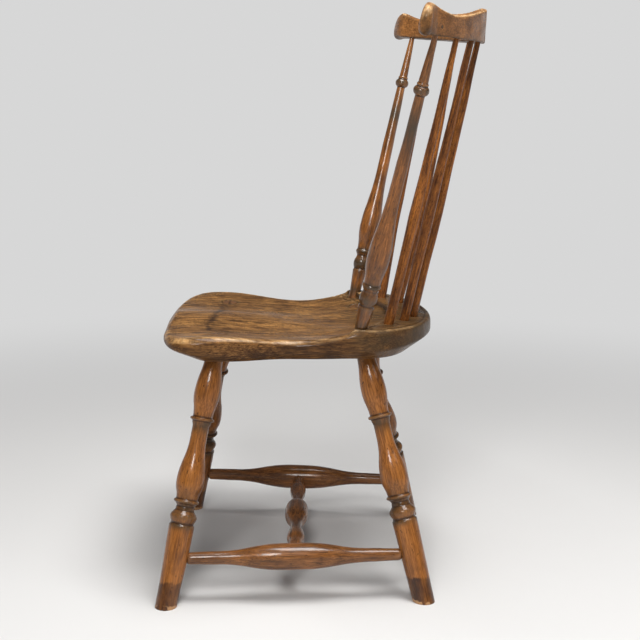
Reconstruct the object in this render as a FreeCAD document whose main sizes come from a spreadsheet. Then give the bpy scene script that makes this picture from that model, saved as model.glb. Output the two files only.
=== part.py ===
import FreeCAD, Part
import math
import os
import re
import Sketcher
from FreeCAD import Vector

# Windsor side chair: saddled plank seat, turned and splayed legs with an H stretcher, raked fan back.
# Millimetres. X to the sitter's left, Y to the rear, Z up, floor at Z = 0.

SIZES = {
    # Fits between the pieces
    "socket_clearance": 0.1,
    "wedge_clearance": 0.05,
    "socket_overrun": 30.0,
    "carving_headroom": 60.0,
    "floor_extent": 2000.0,
    # Seat plank and its shield outline, from the chair's centre
    "seat_underside": 386.0,
    "seat_blank_top": 441.0,
    "seat_front_reach": 258.0,
    "seat_front_fullness": 185.0,
    "seat_corner_half_width": 225.0,
    "seat_corner_setback": 52.0,
    "seat_corner_fullness": 36.0,
    "seat_corner_ease": 58.0,
    "seat_waist_half_width": 193.0,
    "seat_waist_place": -37.0,
    "seat_waist_ease": 50.0,
    "seat_hip_half_width": 199.0,
    "seat_hip_place": 55.0,
    "seat_hip_ease": 28.0,
    "seat_hip_fullness": 62.0,
    "seat_rear_reach": 184.0,
    "seat_rear_fullness": 118.0,
    # Bevels below and above the seat's edge
    "seat_edge_height": 408.0,
    "bevel_low_front": 44.0,
    "bevel_low_corner": 18.0,
    "bevel_low_waist": 9.0,
    "bevel_low_hip": 20.0,
    "bevel_low_rear": 38.0,
    "edge_out_front": 3.0,
    "edge_out_side": 9.0,
    "edge_out_rear": 3.0,
    "bevel_high_front": 27.0,
    "bevel_high_side": 9.0,
    "bevel_high_rear": 4.0,
    # Platform that carries the posts and spindles
    "platform_height": 436.0,
    "platform_fall": 3.1,
    "platform_front_centre": 116.0,
    "platform_front_side": 40.0,
    "platform_front_half_width": 200.0,
    # Saddle: places of its sections from front to rear, and heights at ridge, valley and edge
    "saddle_half_width": 260.0,
    "saddle_valley_place": 105.0,
    "saddle_ease": 0.45,
    "saddle_nose_place": -275.0,
    "saddle_nose_ridge": 421.0,
    "saddle_nose_valley": 414.0,
    "saddle_nose_edge": 420.0,
    "saddle_front_place": -195.0,
    "saddle_front_ridge": 427.0,
    "saddle_front_valley": 419.0,
    "saddle_front_edge": 428.0,
    "saddle_middle_place": -95.0,
    "saddle_middle_ridge": 419.0,
    "saddle_middle_valley": 413.0,
    "saddle_middle_edge": 425.0,
    "saddle_low_place": -15.0,
    "saddle_low_ridge": 411.0,
    "saddle_low_valley": 411.0,
    "saddle_low_edge": 425.0,
    "saddle_rise_place": 55.0,
    "saddle_rise_ridge": 412.0,
    "saddle_rise_valley": 416.0,
    "saddle_rise_edge": 444.0,
    "saddle_back_place": 130.0,
    "saddle_back_ridge": 421.0,
    "saddle_back_valley": 430.0,
    "saddle_back_edge": 460.0,
    # Legs: axis at the seat's underside, in from the seat's reach, and its splay down to the floor
    "front_top_x": 153.0,
    "front_inset": 88.0,
    "front_splay_x": 96.0,
    "front_splay_y": 72.0,
    "rear_top_x": 130.0,
    "rear_inset": 114.0,
    "rear_splay_x": 88.0,
    "rear_splay_y": 97.0,
    # Leg turning: distances down from the seat, and radii
    "leg_tenon_rise": 60.0,
    "leg_tenon_radius": 12.2,
    "leg_top_radius": 14.2,
    "leg_vase_place": 62.0,
    "leg_vase_radius": 20.6,
    "leg_ring_place": 104.0,
    "leg_ring_height": 4.0,
    "leg_ring_seat_radius": 15.6,
    "leg_ring_radius": 19.4,
    "leg_neck_top": 118.0,
    "leg_neck_bottom": 138.0,
    "leg_neck_radius": 13.4,
    "leg_bulb_place": 206.0,
    "leg_bulb_radius": 22.1,
    "leg_bulb_foot_radius": 17.5,
    "leg_disc_place": 236.0,
    "leg_disc_height": 5.0,
    "leg_disc_radius": 20.5,
    "leg_reel_place": 243.5,
    "leg_reel_radius": 15.6,
    "leg_collar_top": 248.0,
    "leg_collar_bottom": 269.0,
    "leg_collar_seat_radius": 18.6,
    "leg_collar_radius": 21.7,
    "leg_groove_place": 271.5,
    "leg_groove_radius": 18.2,
    "leg_taper_top": 274.5,
    "leg_taper_radius": 20.4,
    "leg_foot_radius": 16.8,
    "leg_foot_spare": 20.0,
    # Wedges in the leg tenons
    "wedge_depth": 46.0,
    "wedge_thick": 4.6,
    "wedge_thin": 0.8,
    # Side stretchers
    "stretcher_height": 73.0,
    "stretcher_tenon_radius": 6.5,
    "stretcher_tenon_reach": 7.0,
    "stretcher_shoulder": 19.5,
    "stretcher_end_radius": 8.2,
    "stretcher_slim_length": 62.0,
    "stretcher_slim_radius": 9.4,
    "stretcher_swell_radius": 21.6,
    "stretcher_swell_half": 13.0,
    # Medial stretcher, mirrored about its middle
    "medial_tenon_radius": 6.0,
    "medial_tenon_reach": 3.0,
    "medial_shoulder": 20.8,
    "medial_end_radius": 9.0,
    "medial_ball_place": 130.0,
    "medial_ball_radius": 14.5,
    "medial_ball_foot_radius": 11.0,
    "medial_ball_half": 26.0,
    "medial_neck_place": 72.0,
    "medial_neck_radius": 9.5,
    "medial_bulb_radius": 20.0,
    "medial_bulb_half": 10.0,
    # Back posts: foot on the platform, turning up from it
    "post_foot_x": 177.0,
    "post_foot_y": 61.5,
    "post_head_x": 265.0,
    "post_tenon_depth": 38.0,
    "post_tenon_radius": 9.5,
    "post_foot_shoulder": 2.0,
    "post_foot_radius": 9.9,
    "post_foot_top": 37.5,
    "post_foot_top_radius": 13.0,
    "post_groove_place": 39.5,
    "post_groove_radius": 11.8,
    "post_bead_bottom": 41.5,
    "post_bead_top": 60.5,
    "post_bead_seat_radius": 12.0,
    "post_bead_radius": 14.4,
    "post_cove_place": 64.5,
    "post_cove_radius": 11.4,
    "post_ring_bottom": 69.5,
    "post_ring_top": 75.5,
    "post_ring_seat_radius": 13.2,
    "post_ring_radius": 14.8,
    "post_vase_place": 118.0,
    "post_vase_radius": 17.8,
    "post_shaft_place": 272.0,
    "post_shaft_radius": 9.6,
    "post_slim_place": 379.0,
    "post_slim_radius": 7.2,
    "post_ball_top": 393.5,
    "post_ball_radius": 12.0,
    "post_bead_thin_top": 398.0,
    "post_bead_thin_radius": 9.0,
    "post_neck_radius": 7.5,
    "post_head_radius": 4.3,
    "post_head_depth": 24.0,
    # Spindles: places on the platform and under the crest
    "spindle_foot_step": 42.0,
    "spindle_foot_y": 156.5,
    "spindle_foot_bow": 49.0,
    "spindle_head_step": 68.0,
    "spindle_tenon_depth": 26.0,
    "spindle_foot_radius": 7.4,
    "spindle_swell_radius": 8.8,
    "spindle_swell_share": 0.38,
    "spindle_neck_radius": 4.2,
    "spindle_shoulder": 4.0,
    "spindle_head_radius": 4.0,
    "spindle_head_depth": 22.0,
    # Crest rail in its own raked plane, measured from the middle of its lower edge
    "crest_y": 251.0,
    "crest_z": 878.5,
    "crest_rake": 12.5,
    "crest_bow": 99.6,
    "crest_front_thickness": 9.0,
    "crest_rear_thickness": 10.0,
    "crest_top_rear_thickness": 1.0,
    "crest_root_depth": 60.0,
    "crest_blank_height": 80.0,
    "crest_flare_place": 280.0,
    "crest_half_length": 360.0,
    "crest_end_setback": 114.0,
    "crest_end_slope": 0.08,
    "crest_flare_ease": 0.15,
    "crest_tip_ease": 0.45,
    "crest_end_thinning": 2.0,
    "crest_centre_height": 55.0,
    "crest_centre_fullness": 110.0,
    "crest_dip_place": 238.0,
    "crest_dip_height": 24.0,
    "crest_dip_fullness": 38.0,
    "crest_ear_place": 303.0,
    "crest_ear_height": 31.0,
    "crest_ear_fullness": 26.0,
    "crest_nose_height": 0.0,
    "crest_nose_fullness": 20.0,
    "crest_arch_half": 336.0,
    "crest_arch_rise": 17.5,
    # Pins through the crest and the post tenons
    "peg_radius": 2.4,
    "peg_height": 13.0,
    "peg_blind_end": 3.0,
}

LEFT = 1
RIGHT = -1
SPINDLE_COUNT = 7
LAST_PLACE = (SPINDLE_COUNT - 1) // 2
NAMES = re.compile(r"\b(" + "|".join(SIZES) + r")\b")

doc = FreeCAD.newDocument("windsor_chair")
sheet = doc.addObject("Spreadsheet::Sheet", "Sizes")
for row, (name, number) in enumerate(SIZES.items(), start=1):
    sheet.set(f"A{row}", name)
    sheet.set(f"B{row}", str(number))
    sheet.setAlias(f"B{row}", name)
doc.recompute()


# Helpers for formulas, sketches and solids

def formula(text):
    return NAMES.sub(r"Sizes.\1", str(text))


def value(text):
    return float(sheet.evalExpression(formula(text)))


def bind(item, target, text):
    item.setExpression(target, formula(text))


def new_body(name, place=None):
    body = doc.addObject("PartDesign::Body", name)
    if place:
        bind(body, "Placement", place)
    return body


def new_sketch(body, name, plane, offset=None):
    sketch = body.newObject("Sketcher::SketchObject", name)
    origin_plane = [item for item in body.Origin.OriginFeatures if item.Role == plane][0]
    sketch.AttachmentSupport = [(origin_plane, "")]
    sketch.MapMode = "FlatFace"
    if offset is not None:
        bind(sketch, "AttachmentOffset.Base.z", offset)
    return sketch


def hold(sketch, kind, geometry, position, text):
    constraint = Sketcher.Constraint(kind, -1, 1, geometry, position, value(text))
    index = sketch.addConstraint(constraint)
    bind(sketch, f"Constraints[{index}]", text)


def hold_point(sketch, geometry, position, point):
    hold(sketch, "DistanceX", geometry, position, point[0])
    hold(sketch, "DistanceY", geometry, position, point[1])


def hold_pole(sketch, curve, number, point):
    centre = Vector(value(point[0]), value(point[1]), 0)
    pole = sketch.addGeometry(Part.Circle(centre, Vector(0, 0, 1), 1.0), True)
    alignment = "InternalAlignment:Sketcher::BSplineControlPoint"
    sketch.addConstraint(Sketcher.Constraint(alignment, pole, 3, curve, number))
    sketch.addConstraint(Sketcher.Constraint("Weight", pole, 1.0))
    hold_point(sketch, pole, 3, point)


def arc_between(first, last, centre, kind):
    """Bead round its outer side or shorter arc; True when it is drawn from last to first."""
    start = math.atan2(first.y - centre.y, first.x - centre.x)
    end = math.atan2(last.y - centre.y, last.x - centre.x)
    backwards = kind == "DistanceY" and math.sin(end - start) < 0
    if backwards:
        start, end = end, start
    circle = Part.Circle(centre, Vector(0, 0, 1), first.distanceToPoint(centre))
    return Part.ArcOfCircle(circle, start, end), backwards


def draw_loop(sketch, segments):
    """Closed loop held by formulas: lines (2 points), cubic curves (4 poles) and arcs.

    An arc has its two ends, its centre, and the word for the centre's coordinate that is held.
    """
    drawn = []
    for segment in segments:
        points = [Vector(value(across), value(along), 0)
                  for across, along in (point for point in segment if not isinstance(point, str))]
        backwards = False
        if len(points) == 2:
            shape = Part.LineSegment(points[0], points[1])
        elif len(points) == 3:
            shape, backwards = arc_between(*points, segment[3])
        else:
            shape = Part.BSplineCurve()
            shape.buildFromPoles(points, False, 3)
        first, last = (2, 1) if backwards else (1, 2)
        drawn.append((sketch.addGeometry(shape), first, last))
    for order, (geometry, first, last) in enumerate(drawn):
        following, its_first, its_last = drawn[(order + 1) % len(drawn)]
        sketch.addConstraint(Sketcher.Constraint("Coincident", geometry, last, following, its_first))
    for (geometry, first, last), segment in zip(drawn, segments):
        hold_point(sketch, geometry, first, segment[0])
        if isinstance(segment[-1], str):
            centre, kind = segment[2], segment[3]
            hold(sketch, kind, geometry, 3, centre[0] if kind == "DistanceX" else centre[1])
        elif len(segment) == 4:
            hold_pole(sketch, geometry, 1, segment[1])
            hold_pole(sketch, geometry, 2, segment[2])


def back_to_front(segments):
    return [list(reversed(segment)) for segment in reversed(segments)]


def mirror(segments):
    return [[(f"-({across})", along) for across, along in segment] for segment in segments]


def cut(name, base, tools):
    """Base solid less its tools, one after the other, ending in the object called name."""
    result = base
    for order, tool in enumerate(tools, start=1):
        last = order == len(tools)
        step = doc.addObject("Part::Cut", name if last else f"{name}_cut_{order}")
        step.Base = result
        step.Tool = tool
        result = step
    return result


def common(name, first, second):
    result = doc.addObject("Part::Common", name)
    result.Base = first
    result.Tool = second
    return result


def round_tool(name, place, bottom, bottom_radius, top, top_radius):
    """Straight or tapered round tool along the axis of a placement, from bottom to top."""
    if bottom_radius == top_radius:
        tool = doc.addObject("Part::Cylinder", name)
        bind(tool, "Radius", bottom_radius)
    else:
        tool = doc.addObject("Part::Cone", name)
        bind(tool, "Radius1", bottom_radius)
        bind(tool, "Radius2", top_radius)
    bind(tool, "Height", f"({top})-({bottom})")
    bind(tool, "Placement", f"({place})*placement(vector(0;0;{bottom});rotation(0;0;0))")
    return tool


# Turned pieces: half profile swept round the piece's own Z axis

def ease(here, there):
    """S of two equal arcs that leaves and arrives along the axis."""
    rise = f"(({there[1]})-({here[1]}))"
    swell = f"(({there[0]})-({here[0]}))"
    lean = f"(({rise}^2+{swell}^2)/(4*{swell}))"
    middle = (f"(({here[0]})+({there[0]}))/2", f"(({here[1]})+({there[1]}))/2")
    return [
        [here, middle, (f"({here[0]})+{lean}", here[1]), "DistanceY"],
        [middle, there, (f"({there[0]})-{lean}", there[1]), "DistanceY"],
    ]


def bead(here, there, crest):
    """Round moulding between two points of one radius, reaching out to the crest radius."""
    half = f"((({there[1]})-({here[1]}))/2)"
    bulge = f"(({crest})-({here[0]}))"
    radius = f"(({half}^2+{bulge}^2)/(2*{bulge}))"
    return [[here, there, (f"({crest})-{radius}", f"({here[1]})+{half}"), "DistanceX"]]


def turn(body, stations):
    """Stations run up the axis: ("line" | "ease" | "bead", along, radius, crest of a bead)."""
    start = stations[0]
    axis_start = ("0", start[1])
    here = (start[2], start[1])
    segments = [[axis_start, here]]
    for kind, along, radius, *crest in stations[1:]:
        there = (radius, along)
        if kind == "line":
            segments.append([here, there])
        elif kind == "ease":
            segments.extend(ease(here, there))
        else:
            segments.extend(bead(here, there, crest[0]))
        here = there
    axis_end = ("0", here[1])
    segments.append([here, axis_end])
    segments.append([axis_end, axis_start])
    sketch = new_sketch(body, body.Name + "_profile", "XZ_Plane")
    draw_loop(sketch, segments)
    turning = body.newObject("PartDesign::Revolution", body.Name + "_turning")
    turning.Profile = sketch
    turning.ReferenceAxis = (sketch, ["V_Axis"])
    turning.Angle = 360
    return body


def aim(start, end):
    """Placement at start whose Z axis points at end; both are triples of formulas."""
    across, rearward, upward = [f"(({b})-({a}))" for a, b in zip(start, end)]
    turn_about = f"atan2({rearward};{across})"
    lean = f"atan2(hypot({across};{rearward});{upward})"
    return f"placement(vector({start[0]};{start[1]};{start[2]});rotation({turn_about};{lean};0))"


def spin_back(start, end):
    """Turn about the axis that brings the piece's own X back in line with the chair's X."""
    across, rearward = [f"(({b})-({a}))" for a, b in zip(start[:2], end[:2])]
    return f"rotation(-atan2({rearward};{across});0;0)"


def distance(start, end):
    across, rearward, upward = [f"(({b})-({a}))" for a, b in zip(start, end)]
    return f"hypot({across};{rearward};{upward})"


# Seat: shield-shaped plank, bevelled, then saddled

def shield(front_add, corner_add, waist_add, hip_add, rear_add):
    """Half of the outline from the front centre to the rear centre, then its mirror image back."""
    front = f"-(seat_front_reach+({front_add}))"
    corner = f"(seat_corner_half_width+({corner_add}))"
    corner_y = f"({front}+seat_corner_setback)"
    waist = f"(seat_waist_half_width+({waist_add}))"
    hip = f"(seat_hip_half_width+({hip_add}))"
    rear = f"(seat_rear_reach+({rear_add}))"
    half = [
        [("0", front), ("seat_front_fullness", front),
         (corner, f"{corner_y}-seat_corner_fullness"), (corner, corner_y)],
        [(corner, corner_y), (corner, f"{corner_y}+seat_corner_ease"),
         (waist, "seat_waist_place-seat_waist_ease"), (waist, "seat_waist_place")],
        [(waist, "seat_waist_place"), (waist, "seat_waist_place+seat_hip_ease"),
         (hip, "seat_hip_place-seat_hip_ease"), (hip, "seat_hip_place")],
        [(hip, "seat_hip_place"), (hip, "seat_hip_place+seat_hip_fullness"),
         ("seat_rear_fullness", rear), ("0", rear)],
    ]
    return half + back_to_front(mirror(half))


def seat_blank():
    plank = new_body("seat_plank", "placement(vector(0;0;seat_underside);rotation(0;0;0))")
    outline = new_sketch(plank, "seat_outline", "XY_Plane")
    draw_loop(outline, shield("0", "0", "0", "0", "0"))
    pad = plank.newObject("PartDesign::Pad", "seat_thickness")
    pad.Profile = outline
    bind(pad, "Length", "seat_blank_top-seat_underside")

    bevels = new_body("seat_bevels")
    levels = [
        ("low", "seat_underside", ("-bevel_low_front", "-bevel_low_corner", "-bevel_low_waist",
                                   "-bevel_low_hip", "-bevel_low_rear")),
        ("edge", "seat_edge_height", ("edge_out_front", "edge_out_side", "edge_out_side",
                                      "edge_out_side", "edge_out_rear")),
        ("high", "seat_blank_top", ("-bevel_high_front", "-bevel_high_side", "-bevel_high_side",
                                    "-bevel_high_side", "-bevel_high_rear")),
    ]
    sections = []
    for level, height, reach in levels:
        section = new_sketch(bevels, f"bevel_{level}", "XY_Plane", height)
        draw_loop(section, shield(*reach))
        sections.append(section)
    loft = bevels.newObject("PartDesign::AdditiveLoft", "bevel_sides")
    loft.Profile = sections[0]
    loft.Sections = sections[1:]
    loft.Ruled = True
    return common("seat_blank", plank, bevels)


def saddle_section(body, station):
    place = f"saddle_{station}_place"
    ridge = f"saddle_{station}_ridge"
    valley = f"saddle_{station}_valley"
    edge = f"saddle_{station}_edge"
    roof = "seat_blank_top+carving_headroom/2"
    sketch = new_sketch(body, f"saddle_{station}", "XZ_Plane", f"-({place})")
    wide = "saddle_half_width"
    dip = "saddle_valley_place"
    inner = f"saddle_ease*{dip}"
    outer = f"saddle_ease*({wide}-{dip})"
    right = [
        [("0", ridge), (inner, ridge), (f"{dip}-{inner}", valley), (dip, valley)],
        [(dip, valley), (f"{dip}+{outer}", valley), (f"{wide}-{outer}", edge), (wide, edge)],
        [(wide, edge), (wide, roof)],
    ]
    bridge = [[(wide, roof), (f"-({wide})", roof)]]
    draw_loop(sketch, right + bridge + back_to_front(mirror(right)))
    return sketch


def top_carving():
    """Everything carved away above the seat: the saddle, and the air over the tilted platform."""
    scoop = new_body("saddle_scoop")
    sections = [saddle_section(scoop, station)
                for station in ("nose", "front", "middle", "low", "rise", "back")]
    loft = scoop.newObject("PartDesign::AdditiveLoft", "saddle_loft")
    loft.Profile = sections[0]
    loft.Sections = sections[1:]

    area = new_body("saddle_area", "placement(vector(0;0;seat_underside);rotation(0;0;0))")
    plan = new_sketch(area, "saddle_plan", "XY_Plane")
    side = "saddle_half_width"
    bend = "(platform_front_centre-platform_front_side)/platform_front_half_width^2"
    low = f"platform_front_centre-({bend})*{side}^2"
    pull = f"platform_front_centre+({bend})*{side}^2/3"
    front = "saddle_nose_place"
    draw_loop(plan, [
        [(side, low), (f"{side}/3", pull), (f"-{side}/3", pull), (f"-{side}", low)],
        [(f"-{side}", low), (f"-{side}", front)],
        [(f"-{side}", front), (side, front)],
        [(side, front), (side, low)],
    ])
    pad = area.newObject("PartDesign::Pad", "saddle_area_height")
    pad.Profile = plan
    bind(pad, "Length", "seat_blank_top-seat_underside+carving_headroom")
    saddle = common("saddle", scoop, area)

    air = doc.addObject("Part::Box", "platform_air")
    bind(air, "Length", "4*seat_corner_half_width")
    bind(air, "Width", "4*seat_front_reach")
    bind(air, "Height", "seat_blank_top-seat_underside+carving_headroom")
    tilt = "rotation(0;0;-platform_fall)"
    bind(air, "Placement",
         f"placement(vector(0;post_foot_y;platform_height);{tilt})"
         "*placement(vector(-2*seat_corner_half_width;-2*seat_front_reach;0);rotation(0;0;0))")
    carving = doc.addObject("Part::Fuse", "top_carving")
    carving.Base = saddle
    carving.Tool = air
    return carving


# Legs with their wedges

def leg_ends(pair, side):
    sign = 1 if pair == "rear" else -1
    inset = f"(seat_{pair}_reach-{pair}_inset)"
    foot = (f"{side}*({pair}_top_x+{pair}_splay_x)", f"{sign}*({inset}+{pair}_splay_y)", "0")
    top = (f"{side}*{pair}_top_x", f"{sign}*{inset}", "seat_underside")
    return foot, top


def leg_point(pair, side, height):
    """Point of a leg's axis at a height over the floor."""
    foot, top = leg_ends(pair, side)
    share = f"({height})/seat_underside"
    across = f"({foot[0]}+(({top[0]})-({foot[0]}))*{share})"
    rearward = f"({foot[1]}+(({top[1]})-({foot[1]}))*{share})"
    return across, rearward, f"({height})"


def leg_frame(pair, side):
    """Origin on the axis at the seat's underside, Z up the axis."""
    foot, top = leg_ends(pair, side)
    return f"({aim(foot, top)}*placement(vector(0;0;{distance(foot, top)});rotation(0;0;0)))"


def leg_stations(pair, side):
    foot, top = leg_ends(pair, side)
    run = distance(foot, top)
    ring_top = "-(leg_ring_place-leg_ring_height/2)"
    ring_bottom = "-(leg_ring_place+leg_ring_height/2)"
    disc_top = "-(leg_disc_place-leg_disc_height/2)"
    disc_bottom = "-(leg_disc_place+leg_disc_height/2)"
    return [
        ("start", f"-({run}+leg_foot_spare)", "leg_foot_radius"),
        ("line", "-leg_taper_top", "leg_taper_radius"),
        ("line", "-leg_groove_place", "leg_groove_radius"),
        ("line", "-leg_collar_bottom", "leg_collar_seat_radius"),
        ("bead", "-leg_collar_top", "leg_collar_seat_radius", "leg_collar_radius"),
        ("line", "-leg_reel_place", "leg_reel_radius"),
        ("line", disc_bottom, "leg_bulb_foot_radius"),
        ("bead", disc_top, "leg_bulb_foot_radius", "leg_disc_radius"),
        ("ease", "-leg_bulb_place", "leg_bulb_radius"),
        ("ease", "-leg_neck_bottom", "leg_neck_radius"),
        ("line", "-leg_neck_top", "leg_neck_radius"),
        ("ease", ring_bottom, "leg_ring_seat_radius"),
        ("bead", ring_top, "leg_ring_seat_radius", "leg_ring_radius"),
        ("ease", "-leg_vase_place", "leg_vase_radius"),
        ("ease", "0", "leg_top_radius"),
        ("line", "leg_tenon_rise", "leg_tenon_radius"),
    ]


def wedge_blank(name, place, spread):
    """Tapered prism across a tenon, its thick end at the top."""
    blank = new_body(name, place)
    face = new_sketch(blank, name + "_face", "YZ_Plane")
    thin = f"(wedge_thin/2+{spread})"
    thick = f"(wedge_thick/2+{spread})"
    low = f"(leg_tenon_rise-wedge_depth-{spread})"
    draw_loop(face, [
        [(f"-{thin}", low), (thin, low)],
        [(thin, low), (thick, "leg_tenon_rise")],
        [(thick, "leg_tenon_rise"), (f"-{thick}", "leg_tenon_rise")],
        [(f"-{thick}", "leg_tenon_rise"), (f"-{thin}", low)],
    ])
    pad = blank.newObject("PartDesign::Pad", name + "_width")
    pad.Profile = face
    pad.SideType = "Symmetric"
    bind(pad, "Length", "3*leg_tenon_radius")
    return blank


def make_leg(pair, side, carving, floor):
    hand = "left" if side == LEFT else "right"
    name = f"{pair}_leg_{hand}"
    frame = leg_frame(pair, side)
    foot, top = leg_ends(pair, side)
    blank = turn(new_body(name + "_blank", frame), leg_stations(pair, side))
    across_grain = f"{frame}*placement(vector(0;0;0);{spin_back(foot, top)})"
    slot = wedge_blank(name + "_slot", across_grain, "wedge_clearance")
    socket = stretcher_socket(name + "_socket", pair, side)
    leg = cut(name, blank, [slot, socket, floor, carving])

    wedge_name = f"leg_wedge_{pair}_{hand}"
    prism = wedge_blank(wedge_name + "_prism", across_grain, "0")
    tenon = round_tool(wedge_name + "_tenon", frame, "0", "leg_top_radius",
                       "leg_tenon_rise", "leg_tenon_radius")
    wedge = cut(wedge_name, common(wedge_name + "_blank", prism, tenon), [carving])
    return leg, wedge


def leg_socket(pair, side):
    hand = "left" if side == LEFT else "right"
    return round_tool(f"seat_socket_{pair}_{hand}", leg_frame(pair, side), "0",
                      "leg_top_radius+socket_clearance", "leg_tenon_rise",
                      "leg_tenon_radius+socket_clearance")


# Stretchers

def stretcher_ends(side):
    return leg_point("front", side, "stretcher_height"), leg_point("rear", side, "stretcher_height")


def stretcher_socket(name, pair, side):
    """Blind socket in a leg, along the side stretcher's axis."""
    front, rear = stretcher_ends(side)
    frame = aim(front, rear)
    run = distance(front, rear)
    reach = "(stretcher_tenon_reach+socket_clearance)"
    bounds = (f"-{reach}", "2*leg_taper_radius")
    if pair == "rear":
        bounds = (f"{run}-2*leg_taper_radius", f"{run}+{reach}")
    radius = "stretcher_tenon_radius+socket_clearance"
    return round_tool(name, frame, bounds[0], radius, bounds[1], radius)


def make_side_stretcher(side):
    hand = "left" if side == LEFT else "right"
    name = f"side_stretcher_{hand}"
    front, rear = stretcher_ends(side)
    run = distance(front, rear)
    blank = turn(new_body(name + "_blank", aim(front, rear)), [
        ("start", "-stretcher_tenon_reach", "stretcher_tenon_radius"),
        ("line", "stretcher_shoulder", "stretcher_tenon_radius"),
        ("line", "stretcher_shoulder", "stretcher_end_radius"),
        ("line", "stretcher_slim_length", "stretcher_slim_radius"),
        ("ease", f"{run}/2-stretcher_swell_half", "stretcher_swell_radius"),
        ("line", f"{run}/2+stretcher_swell_half", "stretcher_swell_radius"),
        ("ease", f"{run}-stretcher_slim_length", "stretcher_slim_radius"),
        ("line", f"{run}-stretcher_shoulder", "stretcher_end_radius"),
        ("line", f"{run}-stretcher_shoulder", "stretcher_tenon_radius"),
        ("line", f"{run}+stretcher_tenon_reach", "stretcher_tenon_radius"),
    ])
    start, end = medial_ends()
    span = distance(start, end)
    reach = "(medial_tenon_reach+socket_clearance)"
    bounds = (f"-{reach}", "2*stretcher_swell_radius")
    if side == RIGHT:
        bounds = (f"{span}-2*stretcher_swell_radius", f"{span}+{reach}")
    radius = "medial_tenon_radius+socket_clearance"
    socket = round_tool(name + "_socket", aim(start, end), bounds[0], radius, bounds[1], radius)
    return cut(name, blank, [socket])


def medial_ends():
    """Middles of the two side stretchers, from left to right."""
    middles = []
    for side in (LEFT, RIGHT):
        front, rear = stretcher_ends(side)
        middles.append(tuple(f"(({a})+({b}))/2" for a, b in zip(front, rear)))
    return middles


def make_medial_stretcher():
    start, end = medial_ends()
    span = distance(start, end)
    middle = f"({span}/2)"
    half = [
        ("start", "-medial_tenon_reach", "medial_tenon_radius"),
        ("line", "medial_shoulder", "medial_tenon_radius"),
        ("line", "medial_shoulder", "medial_end_radius"),
        ("ease", f"{middle}-medial_ball_place-medial_ball_half", "medial_ball_foot_radius"),
        ("ease", f"{middle}-medial_ball_place", "medial_ball_radius"),
        ("ease", f"{middle}-medial_neck_place", "medial_neck_radius"),
        ("ease", f"{middle}-medial_bulb_half", "medial_bulb_radius"),
    ]
    other = [
        ("line", f"{middle}+medial_bulb_half", "medial_bulb_radius"),
        ("ease", f"{middle}+medial_neck_place", "medial_neck_radius"),
        ("ease", f"{middle}+medial_ball_place", "medial_ball_radius"),
        ("ease", f"{middle}+medial_ball_place+medial_ball_half", "medial_ball_foot_radius"),
        ("ease", f"{span}-medial_shoulder", "medial_end_radius"),
        ("line", f"{span}-medial_shoulder", "medial_tenon_radius"),
        ("line", f"{span}+medial_tenon_reach", "medial_tenon_radius"),
    ]
    return turn(new_body("medial_stretcher", aim(start, end)), half + other)


# Back: crest frame, posts and spindles

CREST_BEND = "(crest_bow/crest_flare_place^2)"
CREST_FRAME = "placement(vector(0;crest_y;crest_z);rotation(0;0;-crest_rake))"


def crest_point(across, depth):
    """Point in the middle of the crest's thickness, at half of a tenon's depth over its lower edge."""
    behind = f"(-{CREST_BEND}*({across})^2)"
    above = f"({depth}/2-crest_arch_rise*(({across})/crest_arch_half)^2)"
    rearward = f"(crest_y+{behind}*cos(crest_rake*1deg)+{above}*sin(crest_rake*1deg))"
    upward = f"(crest_z-{behind}*sin(crest_rake*1deg)+{above}*cos(crest_rake*1deg))"
    return across, rearward, upward


def platform_point(across, rearward):
    height = f"(platform_height-(({rearward})-post_foot_y)*tan(platform_fall*1deg))"
    return across, rearward, height


def post_ends(side):
    foot = platform_point(f"{side}*post_foot_x", "post_foot_y")
    head = crest_point(f"{side}*post_head_x", "post_head_depth")
    return foot, head


def spindle_ends(number):
    place = number - 1 - LAST_PLACE
    across = f"{place}*spindle_foot_step"
    foot = platform_point(across, f"(spindle_foot_y-spindle_foot_bow*({place}/{LAST_PLACE})^2)")
    head = crest_point(f"{place}*spindle_head_step", "spindle_head_depth")
    return foot, head


def make_post(side):
    hand = "left" if side == LEFT else "right"
    name = f"back_post_{hand}"
    foot, head = post_ends(side)
    run = distance(foot, head)
    body = turn(new_body(name + "_blank", aim(foot, head)), [
        ("start", "-post_tenon_depth", "post_tenon_radius"),
        ("line", "0", "post_tenon_radius"),
        ("line", "post_foot_shoulder", "post_foot_radius"),
        ("line", "post_foot_top", "post_foot_top_radius"),
        ("line", "post_groove_place", "post_groove_radius"),
        ("line", "post_bead_bottom", "post_bead_seat_radius"),
        ("bead", "post_bead_top", "post_bead_seat_radius", "post_bead_radius"),
        ("ease", "post_cove_place", "post_cove_radius"),
        ("ease", "post_ring_bottom", "post_ring_seat_radius"),
        ("bead", "post_ring_top", "post_ring_seat_radius", "post_ring_radius"),
        ("ease", "post_vase_place", "post_vase_radius"),
        ("ease", "post_shaft_place", "post_shaft_radius"),
        ("line", "post_slim_place", "post_slim_radius"),
        ("bead", "post_ball_top", "post_slim_radius", "post_ball_radius"),
        ("bead", "post_bead_thin_top", "post_slim_radius", "post_bead_thin_radius"),
        ("line", "post_bead_thin_top+post_foot_shoulder", "post_neck_radius"),
        ("line", f"{run}-post_head_depth/2-post_foot_shoulder", "post_head_radius"),
        ("line", f"{run}+post_head_depth/2", "post_head_radius"),
    ])
    peg_hole = peg_tool(name + "_peg_hole", side, "socket_clearance")
    return cut(name, body, [peg_hole])


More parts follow.
